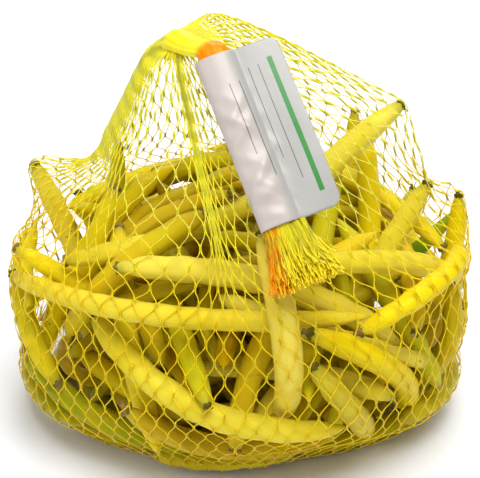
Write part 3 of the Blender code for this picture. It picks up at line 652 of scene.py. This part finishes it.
# The stem ends: a ruff of dried calyx and a stub of stalk on every pod but the cut one
stems = {
    "sides": 14,
    "rings": ((-1.6, 0.84), (-0.7, 1.06), (0.1, 1.12), (0.5, 0.84), (1.0, 0.54), (1.9, 0.46), (2.9, 0.54),
              (3.1, 0.34)),          # how far past the pod's end (mm), and how thick (of the pod's end)
    "lobes": 0.17,
}


def makeStems(lines, material):
    rng = random.Random(12)
    points, faces, along, tone = [], [], [], []
    for number, (line, girth) in sorted(lines.items()):
        if number == pods["cutPod"]:
            continue
        out = unit(line[3] - line[6])
        base = line[3]
        away = unit(base - heap["middle"])
        bend = -away * max(0.0, float(out @ away)) * 1.1        # the net bends the stalk aside
        size = girth[3] * rng.uniform(0.95, 1.15)
        side = unit(np.cross(out, (0.31, 0.2, 0.93)))
        up = np.cross(out, side)
        lean = side * rng.uniform(-0.35, 0.35) + up * rng.uniform(-0.35, 0.35)
        reach = rng.uniform(0.5, 1.15)
        mood = rng.random()
        first = len(points)
        for step, (past, share) in enumerate(stems["rings"]):
            past = past * (reach if past > 1.2 else 1) * mm
            centre = base + out * (past + 0.8 * mm) + (lean + bend) * max(past - 0.4 * mm, 0)
            for corner in range(stems["sides"]):
                turn = 2 * math.pi * corner / stems["sides"]
                lobe = 1 + stems["lobes"] * math.cos(5 * turn + mood * 6) * (step < 4)
                lobe += rng.uniform(-0.05, 0.05)
                points.append(centre + (side * math.cos(turn) + up * math.sin(turn)) * size * share * lobe)
                along.append(max(past, 0) / (5 * mm))
                tone.append(mood)
        faces += ringFaces(first, len(stems["rings"]), stems["sides"])
    item = meshPiece("stemEnds", points, faces, material, {"along": along, "tone": tone})
    turnOut(item)
    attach(item, body)


# The net: zigzag strands that are joined where they touch
net = {
    "room": 0.9 * mm,                # from the pods to the net's outer face
    "middle": np.array([0.0, 2.0, 62.0]) * mm,
    "neck": np.array([-24.0, -5.0, 167.0]) * mm,
    "pinch": np.array([-54.0, 12.0, 120.0]) * mm,
    "tentEdge": ((-13, 10, 175), (2, 11, 170), (25, 13, 153), (48, 12, 135)),      # the arch (mm)
    "tentSides": ((-38, 0, 158), (-34, 20, 150), (0, 32, 150), (30, 30, 134)),     # its slopes (mm)
    "tentFloor": 92 * mm,
    "tentLeft": -50 * mm,
    "neckDip": math.radians(17),
    "facings": 1400,
    "lines": 136,                    # strands round the bag
    "cells": 17,                     # cells along a strand, from base to neck
    "stepsInCell": 10,
    "lineSteps": 200,
    "thick": 0.44 * mm,
    "joint": 0.80 * mm,              # a strand's thickness where it is joined to the next one
    "touch": 0.55,                   # from the middle of a strand to that of one it is joined to, and
    "clear": 0.62,                   # to a pod's skin, as shares of its thickness
    "sway": 1.10,
    "knot": 9,                       # how short the thick stretch at a joint is
    "rays": 0.25,                    # metres from the middle, where the search for pods starts
    "droop": (0.8 * mm, 0.5 * mm),   # from a strand on a pod to the next one, and to its next point
    "rounds": 260,                   # of pulling the net tight
    "fineness": 0.34,                # how much thinner the strands are between their joints, high up
    "fineFrom": 85 * mm,             # height above which they thin out
    "fineOver": 40 * mm,
    "closed": 1.5 * mm,              # strands that are nearer to one another than this stay thick
    "opening": 2.2 * mm,             # and over this much more they come to thin out in full
    "rope": (math.radians(176), math.radians(80), 0.62),      # facing, reach and draw
    "pleat": (math.radians(-92), math.radians(44), 0.86),
    "pullFrom": 0.52,
    "pullTo": 0.74,
    "leanFrom": math.radians(70),
    "gather": 6.0 * mm,
    "baseRadius": 7.2 * mm,
}


def spreadFacings(count):
    number = np.arange(count) + 0.5
    height = 1 - 2 * number / count
    angle = number * math.pi * (3 - math.sqrt(5))
    flat = np.sqrt(1 - height * height)
    return np.stack([flat * np.cos(angle), flat * np.sin(angle), height], 1)


def netForm(points, radii):                  # returns a function: facing to distance from the middle
    planes = spreadFacings(net["facings"])
    middle, neck, pinch = net["middle"], net["neck"], net["pinch"]

    def extent(places, girths):
        return (places @ planes.T + girths[:, None]).max(0) + net["room"] - planes @ middle

    bodyExtent = extent(np.vstack([points, pinch]), np.append(radii, 2 * mm))
    high = (points[:, 2] > net["tentFloor"]) & (points[:, 0] > net["tentLeft"])
    edge = np.array(net["tentEdge"] + net["tentSides"]) * mm
    held = np.vstack([points[high], pinch, edge, neck, middle])
    heldRadii = np.concatenate([radii[high], [2 * mm], np.zeros(len(edge) + 2)])
    tentExtent = extent(held, heldRadii)
    neckFacing, neckReach = unit(neck - middle), np.linalg.norm(neck - middle)

    def reach(facing):
        shape = facing.shape[:-1]
        flat = facing.reshape(-1, 3)
        far = np.empty((2, len(flat)))
        for start in range(0, len(flat), 4000):
            along = flat[start:start + 4000] @ planes.T
            scale = np.where(along > 0.08, 1 / np.maximum(along, 0.08), np.inf)
            for number, planesAt in enumerate((bodyExtent, tentExtent)):
                far[number, start:start + 4000] = (scale * planesAt).min(1)
        out = far.max(0)
        down = -flat[:, 2]
        out = np.where(down > 0.08, np.minimum(out, middle[2] / np.maximum(down, 0.08)), out)
        near = np.arccos(np.clip(flat @ neckFacing, -1, 1)) / net["neckDip"]
        dip = smooth(1 - near)
        out = out + (neckReach - out) * dip
        return out.reshape(shape), far[1].reshape(shape)

    return reach, neckFacing, neckReach


def drawTogether(angle, height):             # pulls strands to the rope and the pleat, near the neck
    pull = smooth((height - net["pullFrom"]) / (net["pullTo"] - net["pullFrom"]))
    for facing, span, draw in (net["rope"], net["pleat"]):
        away = (angle - facing + math.pi) % (2 * math.pi) - math.pi
        share = np.clip(np.abs(away) / span, 1e-6, 1)
        drawn = span * share * (1 - draw * pull * (1 - share ** 1.5))
        angle = angle + np.where(share < 1, np.sign(away) * (drawn - np.abs(away)), 0)
    return angle


def netLines(reach, neckFacing, neckReach):
    tiltAxis = unit(np.cross([0, 0, 1], neckFacing))
    tiltAngle = math.acos(neckFacing[2])
    lowest = math.atan2(net["baseRadius"], net["middle"][2])
    highest = math.pi - math.asin(net["gather"] / neckReach)
    steps = np.linspace(0, 1, net["lineSteps"])
    polar = (lowest + (highest - lowest) * steps)[None, :]
    lean = tiltAngle * smooth((polar - net["leanFrom"]) / (math.pi - net["leanFrom"]))
    turn = 2 * math.pi * np.arange(net["lines"])[:, None] / net["lines"]
    turn = drawTogether(turn, steps[None, :])
    facing = np.stack([np.sin(polar) * np.cos(turn), np.sin(polar) * np.sin(turn),
                       -np.cos(polar) + 0 * turn], 2)
    cos, sin = np.cos(lean)[..., None], np.sin(lean)[..., None]
    facing = (facing * cos + np.cross(tiltAxis, facing) * sin
              + tiltAxis * (facing @ tiltAxis)[..., None] * (1 - cos))
    far, tent = reach(facing)
    return facing, far, tent


def drawTight(facing, far, tent, tree):      # lets the skin sink between the pods that hold it out
    middle = net["middle"]
    floor = np.zeros(far.shape)
    for at in np.ndindex(far.shape):
        start = middle + facing[at] * net["rays"]
        hit = tree.ray_cast(start.tolist(), (-facing[at]).tolist(), net["rays"])
        if hit[0] is not None:
            floor[at] = net["rays"] - hit[3] + net["room"]
    for number in range(2):                  # a pod holds the strands beside it out too
        beside = np.maximum(np.roll(floor, 1, 0), np.roll(floor, -1, 0))
        floor = np.maximum(floor, beside - net["droop"][0])
        beside = np.maximum(floor[:, 2:], floor[:, :-2])
        floor[:, 1:-1] = np.maximum(floor[:, 1:-1], beside - net["droop"][1])
    held = np.where(tent > floor + 4 * mm, tent - 1.0 * mm, 0) * smooth((facing[..., 2] - 0.15) / 0.3)
    floor = np.minimum(np.maximum(floor, held), far)
    now = far.copy()
    for number in range(net["rounds"]):
        place = middle + facing * now[..., None]
        mean = (np.roll(place, 1, 0) + np.roll(place, -1, 0)) / 4
        mean[:, 1:-1] += (place[:, 2:] + place[:, :-2]) / 4
        pulled = ((mean - middle) * facing).sum(2)
        now[:, 3:-6] = np.maximum(pulled, floor)[:, 3:-6]
        now = np.minimum(now, far)
    return now


def zigzag(place):                           # bends each line so that it touches its neighbours in turn
    share = np.linspace(0, 1, net["cells"] * net["stepsInCell"] + 1)
    even = np.stack([pointsAt(line, share) for line in place])
    phase = share * net["cells"] * 2 * math.pi
    sway = np.clip(np.sin(phase) * net["sway"], -1, 1)
    sway = sway[None, :] * np.where(np.arange(net["lines"]) % 2 == 0, 1.0, -1.0)[:, None]
    touch = net["thick"] * net["touch"]
    bent, gaps = even, []
    for roll, pull in ((-1, np.maximum(sway, 0)), (1, np.maximum(-sway, 0))):
        way = np.roll(even, roll, 0) - even
        gap = np.linalg.norm(way, axis=2)
        move = way / np.maximum(gap, 1e-9)[..., None] * np.maximum(gap / 2 - touch / 2, 0)[..., None]
        bent = bent + move * pull[..., None]
        gaps.append(gap)
    spaced = smooth((np.minimum(*gaps) - net["closed"]) / net["opening"])
    return bent, np.abs(sway), spaced


def clearOfPods(bent, tree):                 # lifts any point of a strand that is in or near a pod
    reachOut = net["thick"] * net["clear"]
    for number in range(3):
        for at in np.ndindex(bent.shape[:2]):
            near, normal, face, distance = tree.find_nearest(bent[at].tolist(), 6 * mm)
            if near is None:
                continue
            near, normal = np.array(near), np.array(normal)
            if (bent[at] - near) @ normal < 0 or distance < reachOut:
                bent[at] = near + normal * reachOut
    bent[..., 2] = np.maximum(bent[..., 2], net["joint"] / 2 + 0.02 * mm)
    return bent


def makeNet(tree, material, nearPods, points, radii):
    reach, neckFacing, neckReach = netForm(points, radii)
    facing, far, tent = netLines(reach, neckFacing, neckReach)
    far = drawTight(facing, far, tent, nearPods)
    place = net["middle"] + facing * far[..., None]
    bent, joined, spaced = zigzag(place)
    bent = clearOfPods(bent, nearPods)
    knot = joined ** net["knot"]
    high = spaced * smooth((bent[..., 2] - net["fineFrom"]) / net["fineOver"])
    thin = net["fineness"] * high * (1 - knot)
    girth = net["thick"] / 2 * (1 - thin) + (net["joint"] - net["thick"]) / 2 * knot
    half = net["lines"] // 2
    pieces = []
    for name, start in (("netFront", half), ("netBack", 0)):
        chosen = range(start, start + half)
        # thin also marks where the net's material paints the strands paler, as painted backlight
        item = lineMesh(name, [bent[line] for line in chosen], girth=[girth[line] for line in chosen],
                        thin=[(1 - knot[line]) * spaced[line] for line in chosen])
        addTree(item, tree, material=material)
        pieces.append(item)
    makePlain(pieces)
    for item in pieces:
        asNet(item)


# The neck, the tail under the label and the brush of cut ends
tail = {
    "along": np.array([0.358, -0.600, -0.715]),      # down the label
    "across": np.array([0.933, 0.231, 0.274]),       # across it, away from the tail
    "inset": 8.5 * mm,               # from the label's left edge to the middle of the tail
    "halfWide": 6.6 * mm,
    "halfThick": 3.0 * mm,
    "sleeveRoom": 0.6 * mm,          # between the tail and the CAD label's wall
    "wall": 0.8 * mm,                # of the CAD label
    "neckWidths": (6.4, 5.6, 4.6, 5.2, 6.2, 6.4, 6.4, 6.4, 6.8),      # mm
    "neckHeights": (6.4, 4.8, 3.0, 2.6, 2.6, 2.6, 2.6, 2.6, 1.4),
    "folds": 11,
    "foldDepth": 0.035,
    "orangeFrom": 0.205,             # share of its length
    "sides": 66,
    "bristles": 560,
    "bristleSteps": 14,
    "bristleLength": 20 * mm,
    "bristleThick": 0.60 * mm,
}


def labelCorner():                           # the label's upper left corner, from its CAD node
    node = np.array([vert.co[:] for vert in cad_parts["label"].data.vertices])
    facing = unit(np.cross(tail["along"], tail["across"]))
    down, over, level = node @ tail["along"], node @ tail["across"], node @ facing
    left = tail["inset"] - tail["halfWide"] - tail["sleeveRoom"] - tail["wall"]
    return (tail["along"] * down.min() + tail["across"] * (over.min() - left)
            + facing * (level.min() + level.max()) / 2)


def tailLine(corner):
    top = corner + tail["across"] * tail["inset"] + tail["along"] * label["drop"]
    inward = unit(net["neck"] - net["middle"])
    neck, along = net["neck"], tail["along"]
    points = [neck - inward * 4 * mm, neck + inward * 1 * mm,
              neck * 0.55 + top * 0.45 + np.array([0.0, 0.0, 1.0]) * mm,
              top - along * 2 * mm + np.array([-0.5, 1.0, 0.3]) * mm]
    points += [top + along * label["length"] * share for share in (0.03, 0.35, 0.68, 1.0)]
    points.append(points[-1] + along * 11 * mm)
    return np.array(points)


def makeTail(corner, material):
    rough = tailLine(corner)
    line = curveThrough(rough, 90)
    seats = np.linspace(0, 1, len(line))
    at = runAlong(rough) / runAlong(rough)[-1]
    wide = np.interp(seats, at, tail["neckWidths"]) * mm
    high = np.interp(seats, at, tail["neckHeights"]) * mm
    points, orange = [], []
    sides = tail["sides"]
    turn = 2 * math.pi * np.arange(sides) / sides
    cos, sin = np.cos(turn), np.sin(turn)
    for number, (point, tangent) in enumerate(zip(line, unit(np.gradient(line, axis=0)))):
        across = unit(tail["across"] - tangent * (tail["across"] @ tangent))
        rise = np.cross(across, tangent)
        wander = 1.7 * np.sin(turn * 2 + number * 0.05)
        fold = 1 + tail["foldDepth"] * np.sin(tail["folds"] * turn + wander)
        points.append(point + np.outer(cos * fold, across * wide[number])
                      + np.outer(sin * fold, rise * high[number]))
        left = np.ones(sides) if seats[number] < 0.5 else smooth((0.1 - cos) / 0.5)
        orange.append(smooth((seats[number] - tail["orangeFrom"]) / 0.04) * left)
    item = meshPiece("tail", np.concatenate(points), ringFaces(0, len(line), sides), material,
                     {"orange": np.concatenate(orange)})
    turnOut(item)
    asNet(item)
    return line


def makeBrush(line, tree, material):
    rng = random.Random(21)
    root, along, across = line[-1] - tail["along"] * 6 * mm, tail["along"], tail["across"]
    facing = np.cross(across, along)
    lines, girths, orange = [], [], []
    steps = tail["bristleSteps"]
    for number in range(tail["bristles"]):
        share = rng.uniform(-1, 1)
        level = rng.uniform(-1, 1) * math.sqrt(1 - share * share)
        spread = across * (0.02 + 0.17 * share + rng.uniform(-0.07, 0.07))
        heading = unit(along + spread + facing * rng.uniform(-0.10, 0.12))
        foot = (root + across * (tail["halfWide"] * 1.3 * share + 1.2 * mm)
                + facing * level * tail["halfThick"] * 0.8)
        length = tail["bristleLength"] * rng.uniform(0.55, 1.0)
        wave = rng.uniform(0.15, 0.65) * mm
        phase = rng.uniform(0, 6.28)
        bend = rng.uniform(-2.5, 2.5) * mm
        t = np.linspace(0, 1, steps)[:, None]
        sway = across * (wave * np.sin(phase + t * 13) + bend * t * t)
        lift = facing * (wave * np.cos(phase + t * 11) - 3.0 * mm * t * t)
        lines.append(foot - heading * 5 * mm + heading * (length + 5 * mm) * t + (sway + lift) * t)
        girths.append(np.full(steps, tail["bristleThick"] / 2) * rng.uniform(0.8, 1.15))
        faint = rng.uniform(0, 0.16)         # the left edge is orange, and the rest has a little of it
        strong = float(smooth((-0.40 - share + rng.uniform(-0.3, 0.3)) / 0.5))
        orange.append(np.full(steps, max(faint, strong)))
    item = lineMesh("brush", lines, girth=girths, orange=orange)
    addTree(item, tree, material=material)
    makePlain([item])
    asNet(item)


# The weld that closes the net underneath
base = {
    "rings": ((8.5, 0.0), (9.6, 0.35), (9.8, 1.0), (9.2, 1.7), (7.0, 2.0)),      # radius and height (mm)
    "sides": 48,
    "centre": 2 * mm,                # behind the frame's origin
    "ripple": 0.03,
}


def makeBase(material):
    points = []
    for radius, height in base["rings"]:
        for side in range(base["sides"]):
            turn = 2 * math.pi * side / base["sides"]
            out = radius * mm * (1 + base["ripple"] * math.sin(turn * 12) * (height > 0))
            points.append((out * math.cos(turn), base["centre"] + out * math.sin(turn), height * mm))
    faces = ringFaces(0, len(base["rings"]), base["sides"])
    item = meshPiece("baseWeld", points, faces, material, {"orange": np.zeros(len(points))})
    turnOut(item)
    asNet(item)


# The label: one sheet folded round the tail and stuck to itself
label = {
    "width": 32.8 * mm,
    "length": 68 * mm,
    "drop": 6.8 * mm,                # from the CAD label's upper edge
    "paper": 0.22 * mm,
    "rowsDown": 90,
    "flagColumns": 34,
    "wrapColumns": 40,
    "cornerRound": 4.0 * mm,
    "layerGap": 0.30 * mm,
    "creases": 13,
    "crease": 1.1 * mm,              # their height
    "creaseWide": 0.035,             # share of the label's length
    "bow": 1.4 * mm,
    "sag": 0.5 * mm,
    # blank ruled lines: how far across, from and to, as shares of the label
    "rules": ((0.68, 0.12, 0.80), (0.56, 0.12, 0.66), (0.40, 0.18, 0.74), (0.28, 0.18, 0.60)),
}


def within(value, low, high, edge):          # one between low and high, and nought beyond them
    return times(ramp(value, low, low + edge), ramp(value, high, high - edge))


def labelMaterial():
    material, tree = newMaterial("labelPaper", Roughness=0.38, Specular_IOR_Level=0.5,
                                 Coat_Weight=0.15, Coat_Roughness=0.3)
    over, down = readValue(tree, "over"), readValue(tree, "down")
    paper = mix(noise(tree, 70, 4), (0.39, 0.38, 0.35, 1), (0.45, 0.44, 0.41, 1))
    wrapped = times(ramp(over, 0.46, 0.30), 0.8)
    paper = mix(wrapped, paper, (0.58, 0.50, 0.45, 1))
    # a plain band and ruled lines, left blank
    band = times(within(over, 0.800, 0.865, 0.005), within(down, 0.10, 0.90, 0.005))
    paper = mix(band, paper, (0.02, 0.24, 0.03, 1))
    for seat, start, end in label["rules"]:
        rule = times(within(over, seat - 0.008, seat + 0.008, 0.004), within(down, start, end, 0.004), 0.8)
        paper = mix(rule, paper, (0.08, 0.08, 0.08, 1))
    return finishMaterial(material, noise(tree, 160, 4), 0.25, 0.0008, Base_Color=paper)


def makeLabel(corner, material):
    facing = unit(np.cross(tail["along"], tail["across"]))
    room = tail["sleeveRoom"] + tail["wall"] / 2
    wide, thick = tail["halfWide"] + room, tail["halfThick"] + room
    flag, gap = label["width"] - tail["inset"], label["layerGap"]
    # across the label: along the front layer inwards, round the tail, and back along the other layer
    join = math.asin(min(1, gap / thick))
    turn = np.linspace(join, 2 * math.pi - join, label["wrapColumns"] + 1)
    out = wide + (flag - wide) * np.arange(1, label["flagColumns"] + 1) / label["flagColumns"]
    profile = np.array([np.concatenate([out[::-1], wide * np.cos(turn), out]),
                        np.concatenate([gap + 0 * out, thick * np.sin(turn), -gap + 0 * out])]).T
    # soften the sharp turn where the two layers meet
    for number in range(3):
        profile[1:-1] = profile[1:-1] * 0.5 + (profile[2:] + profile[:-2]) * 0.25
    top = corner + tail["across"] * tail["inset"] + tail["along"] * label["drop"]
    rng = np.random.default_rng(5)
    creases = [(rng.uniform(0.05, 0.95), rng.uniform(-0.5, 0.5), rng.uniform(0.3, 1.0))
               for number in range(label["creases"])]
    columns, rows = len(profile), label["rowsDown"] + 1
    x, y = profile.T
    down, over = np.meshgrid(np.linspace(0, 1, rows), (x + wide) / (flag + wide), indexing="ij")
    front = np.where(np.arange(columns) < columns / 2, 1.0, 0.25)
    lift = label["crease"] * smooth((0.62 - over) / 0.35) * front * sum(
        size * np.exp(-((down - seat - slope * (over - 0.3)) / label["creaseWide"]) ** 2)
        for seat, slope, size in creases)
    bow = label["bow"] * np.sin(down * math.pi) * smooth((over - 0.3) / 0.7)
    sag = label["sag"] * np.sin(down * 7 + over * 3) * smooth((over - 0.35) / 0.4)
    normal = np.where(np.abs(y) > gap * 1.5, y / thick, np.where(y > 0, 1.0, -1.0))
    level = y + lift * normal + bow + sag
    # the flag's free corners are rounded
    corners = label["cornerRound"]
    short = np.maximum(corners - np.minimum(down, 1 - down) * label["length"], 0)
    edge = flag - corners + np.sqrt(corners ** 2 - short ** 2)
    x = np.where(x < wide, x, wide + (x - wide) * (edge - wide) / (flag - wide))
    points = (top + down[..., None] * label["length"] * tail["along"] + x[..., None] * tail["across"]
              + level[..., None] * facing)
    starts = [row * columns + column for row in range(rows - 1) for column in range(columns - 1)]
    faces = [(start, start + 1, start + columns + 1, start + columns) for start in starts]
    item = meshPiece("labelSheet", points.reshape(-1, 3), faces, material,
                     {"over": over.ravel(), "down": down.ravel()})
    wall = item.modifiers.new("paper", "SOLIDIFY")
    wall.thickness = label["paper"]
    wall.offset = 0
    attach(item, body)
    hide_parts("label")


def makeStudio():
    half = studio["floorHalf"]
    material = newMaterial("floorPale", Roughness=0.75, Base_Color=studio["floorColour"] + (1,))[0]
    floor = meshPiece("floor", [(-half, -half, 0), (half, -half, 0), (half, half, 0), (-half, half, 0)],
                      [(0, 1, 2, 3)], material)
    world = bpy.data.worlds.new("world")
    world.use_nodes = True
    back = world.node_tree.nodes["Background"]
    back.inputs["Color"].default_value = studio["worldColour"] + (1,)
    back.inputs["Strength"].default_value = studio["worldStrength"]
    bpy.context.scene.world = world
    for name, place, size, power in studio["lamps"]:
        data = bpy.data.lights.new(name, "AREA")
        data.size = size
        data.energy = power
        lamp = newItem(name, data)
        lamp.location = place
        aimAt(lamp, (0, 0, 0.06))
    bpy.context.scene.view_settings.view_transform = "Standard"


def facesTree(names):                        # these pieces as one tree, for finding what is near
    points, faces = [], []
    for name in names:
        mesh = bpy.data.objects[name].data
        start = len(points)
        points += [vert.co[:] for vert in mesh.vertices]
        faces += [tuple(start + index for index in face.vertices) for face in mesh.polygons]
    return BVHTree.FromPolygons(points, faces)


def main():
    setCamera()
    makeStudio()
    print("camera, floor and lamps set")
    podSkin, podStem, netPlastic = podMaterial(), stemMaterial(), netMaterial()
    podNodes, strandNodes = podTree(), strandTree()
    lines = makePods(podNodes, podSkin)
    print(len(lines), "pods laid")
    heart, heartFine = makeFill("heartPods", podNodes, podSkin, heartLines())
    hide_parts("heart")
    known = list(lines.values()) + heartFine
    foot, footFine = makeFill("footPods", podNodes, podSkin, footLines(), 0.22)
    added = fitPods(known + footFine)
    makeFill("fillPods", podNodes, podSkin, added)
    print(len(footFine), "pods round the foot,", len(added), "in what room is left")
    makeStems(lines, podStem)
    names = [f"pod{number:02d}" for number in lines] + ["fillPods", "heartPods", "footPods", "stemEnds"]
    nearPods = facesTree(names)
    outer = list(lines.values()) + footFine
    points = np.concatenate([line for line, girth in outer])
    radii = np.concatenate([girth for line, girth in outer])
    makeNet(strandNodes, netPlastic, nearPods, points, radii)
    print("net stretched")
    corner = labelCorner()
    line = makeTail(corner, netPlastic)
    makeBrush(line, strandNodes, netPlastic)
    makeBase(netPlastic)
    makeLabel(corner, labelMaterial())
    print("neck, tail, brush, base and label made")


main()
